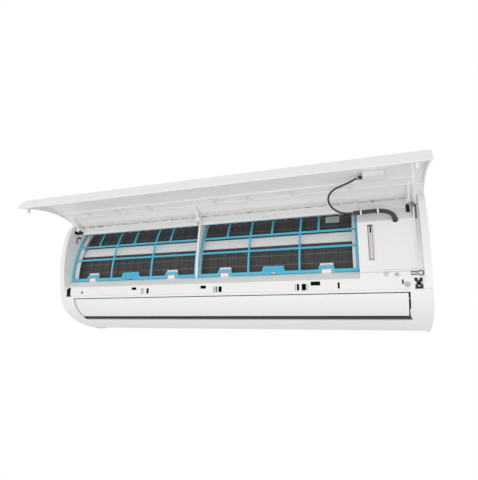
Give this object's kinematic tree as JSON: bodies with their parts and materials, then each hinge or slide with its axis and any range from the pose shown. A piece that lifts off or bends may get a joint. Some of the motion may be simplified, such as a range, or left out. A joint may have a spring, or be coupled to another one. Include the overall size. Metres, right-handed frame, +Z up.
{
  "type": "mini split indoor unit",
  "caption": "Wall-hung air conditioner indoor unit with its front panel propped open over two lift-out filters, a louvered outlet below and a cable to the panel's display.",
  "frame": {"origin": "centre of the mounting plate's back face, on the wall, at the body's mid width and mid height", "axes": "+X across the unit, to the right seen from the room; -Y out of the wall into the room; +Z up"},
  "size_m": [0.846, 0.3357, 0.2975],
  "materials": {
    "white_shell": "satin white ABS",
    "white_inner": "matt white ABS",
    "grey_plastic": "matt grey",
    "black_plastic": "matt black",
    "filter_blue": "satin blue polypropylene",
    "net": "woven mesh",
    "fins": "folded fins",
    "zinc_steel": "zinc plated",
    "copper": "bare copper tube",
    "rubber": "moulded",
    "board": "solder mask green",
    "sleeving": "braided sleeve"
  },
  "bodies": {
    "housing": {"wall_plate": "zinc_steel", "rear_chassis": "white_inner", "front_casing": "white_shell", "top_grille": "white_inner", "drain_pan": "white_inner", "latch_socket_left": "black_plastic", "latch_socket_right": "black_plastic", "stay_clip": "zinc_steel", "hinge_pin_left": "white_inner", "hinge_pin_centre": "white_inner", "hinge_pin_right": "white_inner", "coil_lower": "fins", "coil_upper": "fins", "coil_rear": "fins", "coil_bar": "white_inner", "coil_bends": "copper", "coil_plate_right": "zinc_steel", "sensor_bracket": "grey_plastic", "fan_bearing": "rubber", "fan_motor": "zinc_steel", "motor_bracket": "white_inner", "motor_clamp": "zinc_steel", "electric_box": "grey_plastic", "circuit_board": "board", "terminal_block": "black_plastic", "service_cover": "white_inner", "casing_screw": "zinc_steel", "louver_bearing": "white_inner", "louver_motor": "grey_plastic", "cable_sheath": "sleeving", "cable_loop": "black_plastic", "gas_pipe": "copper", "liquid_pipe": "copper"},
    "panel": {"front_panel": "white_shell", "stay_catch": "white_inner", "display_box": "grey_plastic", "cable_plug": "black_plastic"},
    "stay": {"panel_stay": "white_inner"},
    "louver": {"louver": "white_shell"},
    "fan": {"fan_wheel": "black_plastic"},
    "filter_left": {"filter_frame_left": "filter_blue", "filter_net_left": "net"},
    "filter_right": {"filter_frame_right": "filter_blue", "filter_net_right": "net"},
    "button": {"emergency_button": "grey_plastic"},
    "link_left": {"vane_link_left": "white_inner"},
    "link_right": {"vane_link_right": "white_inner"},
    "vane_left_1": {"vane_left_1": "white_inner"},
    "vane_left_2": {"vane_left_2": "white_inner"},
    "vane_left_3": {"vane_left_3": "white_inner"},
    "vane_left_4": {"vane_left_4": "white_inner"},
    "vane_left_5": {"vane_left_5": "white_inner"},
    "vane_right_1": {"vane_right_1": "white_inner"},
    "vane_right_2": {"vane_right_2": "white_inner"},
    "vane_right_3": {"vane_right_3": "white_inner"},
    "vane_right_4": {"vane_right_4": "white_inner"},
    "vane_right_5": {"vane_right_5": "white_inner"}
  },
  "joints": [
    {"name": "panel_hinge", "type": "hinge", "parent": "housing", "child": "panel", "pos_m": [0, -0.162, 0.1115], "axis": [1, 0, 0], "range_deg": [0, 87], "deforming": ["cable_loop"]},
    {"name": "stay_swing", "type": "hinge", "parent": "housing", "child": "stay", "pos_m": [0.4049, -0.1735, 0.1035], "axis": [0.9973, -0.0741, 0], "range_deg": [0, 103]},
    {"name": "louver_swing", "type": "hinge", "parent": "housing", "child": "louver", "pos_m": [0, -0.1725, -0.0785], "axis": [-1, 0, 0], "range_deg": [0, 75]},
    {"name": "fan_spin", "type": "hinge", "parent": "housing", "child": "fan", "pos_m": [0, -0.082, -0.0245], "axis": [1, 0, 0], "continuous": true},
    {"name": "filter_left_slide", "type": "slide", "parent": "housing", "child": "filter_left", "axis": [0, -0.866, -0.5], "range_m": [0, 0.034]},
    {"name": "filter_right_slide", "type": "slide", "parent": "housing", "child": "filter_right", "axis": [0, -0.866, -0.5], "range_m": [0, 0.034]},
    {"name": "button_press", "type": "slide", "parent": "housing", "child": "button", "axis": [0, 1, 0], "range_m": [0, 0.0018], "stiffness_N_per_m": 600, "springref_m": -0.001},
    {"name": "vanes_left_shift", "type": "slide", "parent": "housing", "child": "link_left", "axis": [1, 0, 0], "range_m": [-0.007, 0.007]},
    {"name": "vane_left_1_turn", "type": "hinge", "parent": "housing", "child": "vane_left_1", "pos_m": [-0.347, -0.145, -0.0576], "axis": [0, -0.6428, 0.766], "range_deg": [-30.5, 30.5]},
    {"name": "vane_left_2_turn", "type": "hinge", "parent": "housing", "child": "vane_left_2", "pos_m": [-0.287, -0.145, -0.0576], "axis": [0, -0.6428, 0.766], "range_deg": [-30.5, 30.5]},
    {"name": "vane_left_3_turn", "type": "hinge", "parent": "housing", "child": "vane_left_3", "pos_m": [-0.227, -0.145, -0.0576], "axis": [0, -0.6428, 0.766], "range_deg": [-30.5, 30.5]},
    {"name": "vane_left_4_turn", "type": "hinge", "parent": "housing", "child": "vane_left_4", "pos_m": [-0.167, -0.145, -0.0576], "axis": [0, -0.6428, 0.766], "range_deg": [-30.5, 30.5]},
    {"name": "vane_left_5_turn", "type": "hinge", "parent": "housing", "child": "vane_left_5", "pos_m": [-0.107, -0.145, -0.0576], "axis": [0, -0.6428, 0.766], "range_deg": [-30.5, 30.5]},
    {"name": "vanes_right_shift", "type": "slide", "parent": "housing", "child": "link_right", "axis": [1, 0, 0], "range_m": [-0.007, 0.007]},
    {"name": "vane_right_1_turn", "type": "hinge", "parent": "housing", "child": "vane_right_1", "pos_m": [0.004, -0.145, -0.0576], "axis": [0, -0.6428, 0.766], "range_deg": [-30.5, 30.5]},
    {"name": "vane_right_2_turn", "type": "hinge", "parent": "housing", "child": "vane_right_2", "pos_m": [0.064, -0.145, -0.0576], "axis": [0, -0.6428, 0.766], "range_deg": [-30.5, 30.5]},
    {"name": "vane_right_3_turn", "type": "hinge", "parent": "housing", "child": "vane_right_3", "pos_m": [0.124, -0.145, -0.0576], "axis": [0, -0.6428, 0.766], "range_deg": [-30.5, 30.5]},
    {"name": "vane_right_4_turn", "type": "hinge", "parent": "housing", "child": "vane_right_4", "pos_m": [0.184, -0.145, -0.0576], "axis": [0, -0.6428, 0.766], "range_deg": [-30.5, 30.5]},
    {"name": "vane_right_5_turn", "type": "hinge", "parent": "housing", "child": "vane_right_5", "pos_m": [0.244, -0.145, -0.0576], "axis": [0, -0.6428, 0.766], "range_deg": [-30.5, 30.5]}
  ],
  "couplings": [
    {"joint": "stay_swing", "follows": "panel_hinge", "ratio": 1.1839},
    {"joint": "vane_left_1_turn", "follows": "vanes_left_shift", "rad_per_m": -74.8},
    {"joint": "vane_left_2_turn", "follows": "vanes_left_shift", "rad_per_m": -74.8},
    {"joint": "vane_left_3_turn", "follows": "vanes_left_shift", "rad_per_m": -74.8},
    {"joint": "vane_left_4_turn", "follows": "vanes_left_shift", "rad_per_m": -74.8},
    {"joint": "vane_left_5_turn", "follows": "vanes_left_shift", "rad_per_m": -74.8},
    {"joint": "vane_right_1_turn", "follows": "vanes_right_shift", "rad_per_m": -74.8},
    {"joint": "vane_right_2_turn", "follows": "vanes_right_shift", "rad_per_m": -74.8},
    {"joint": "vane_right_3_turn", "follows": "vanes_right_shift", "rad_per_m": -74.8},
    {"joint": "vane_right_4_turn", "follows": "vanes_right_shift", "rad_per_m": -74.8},
    {"joint": "vane_right_5_turn", "follows": "vanes_right_shift", "rad_per_m": -74.8}
  ]
}
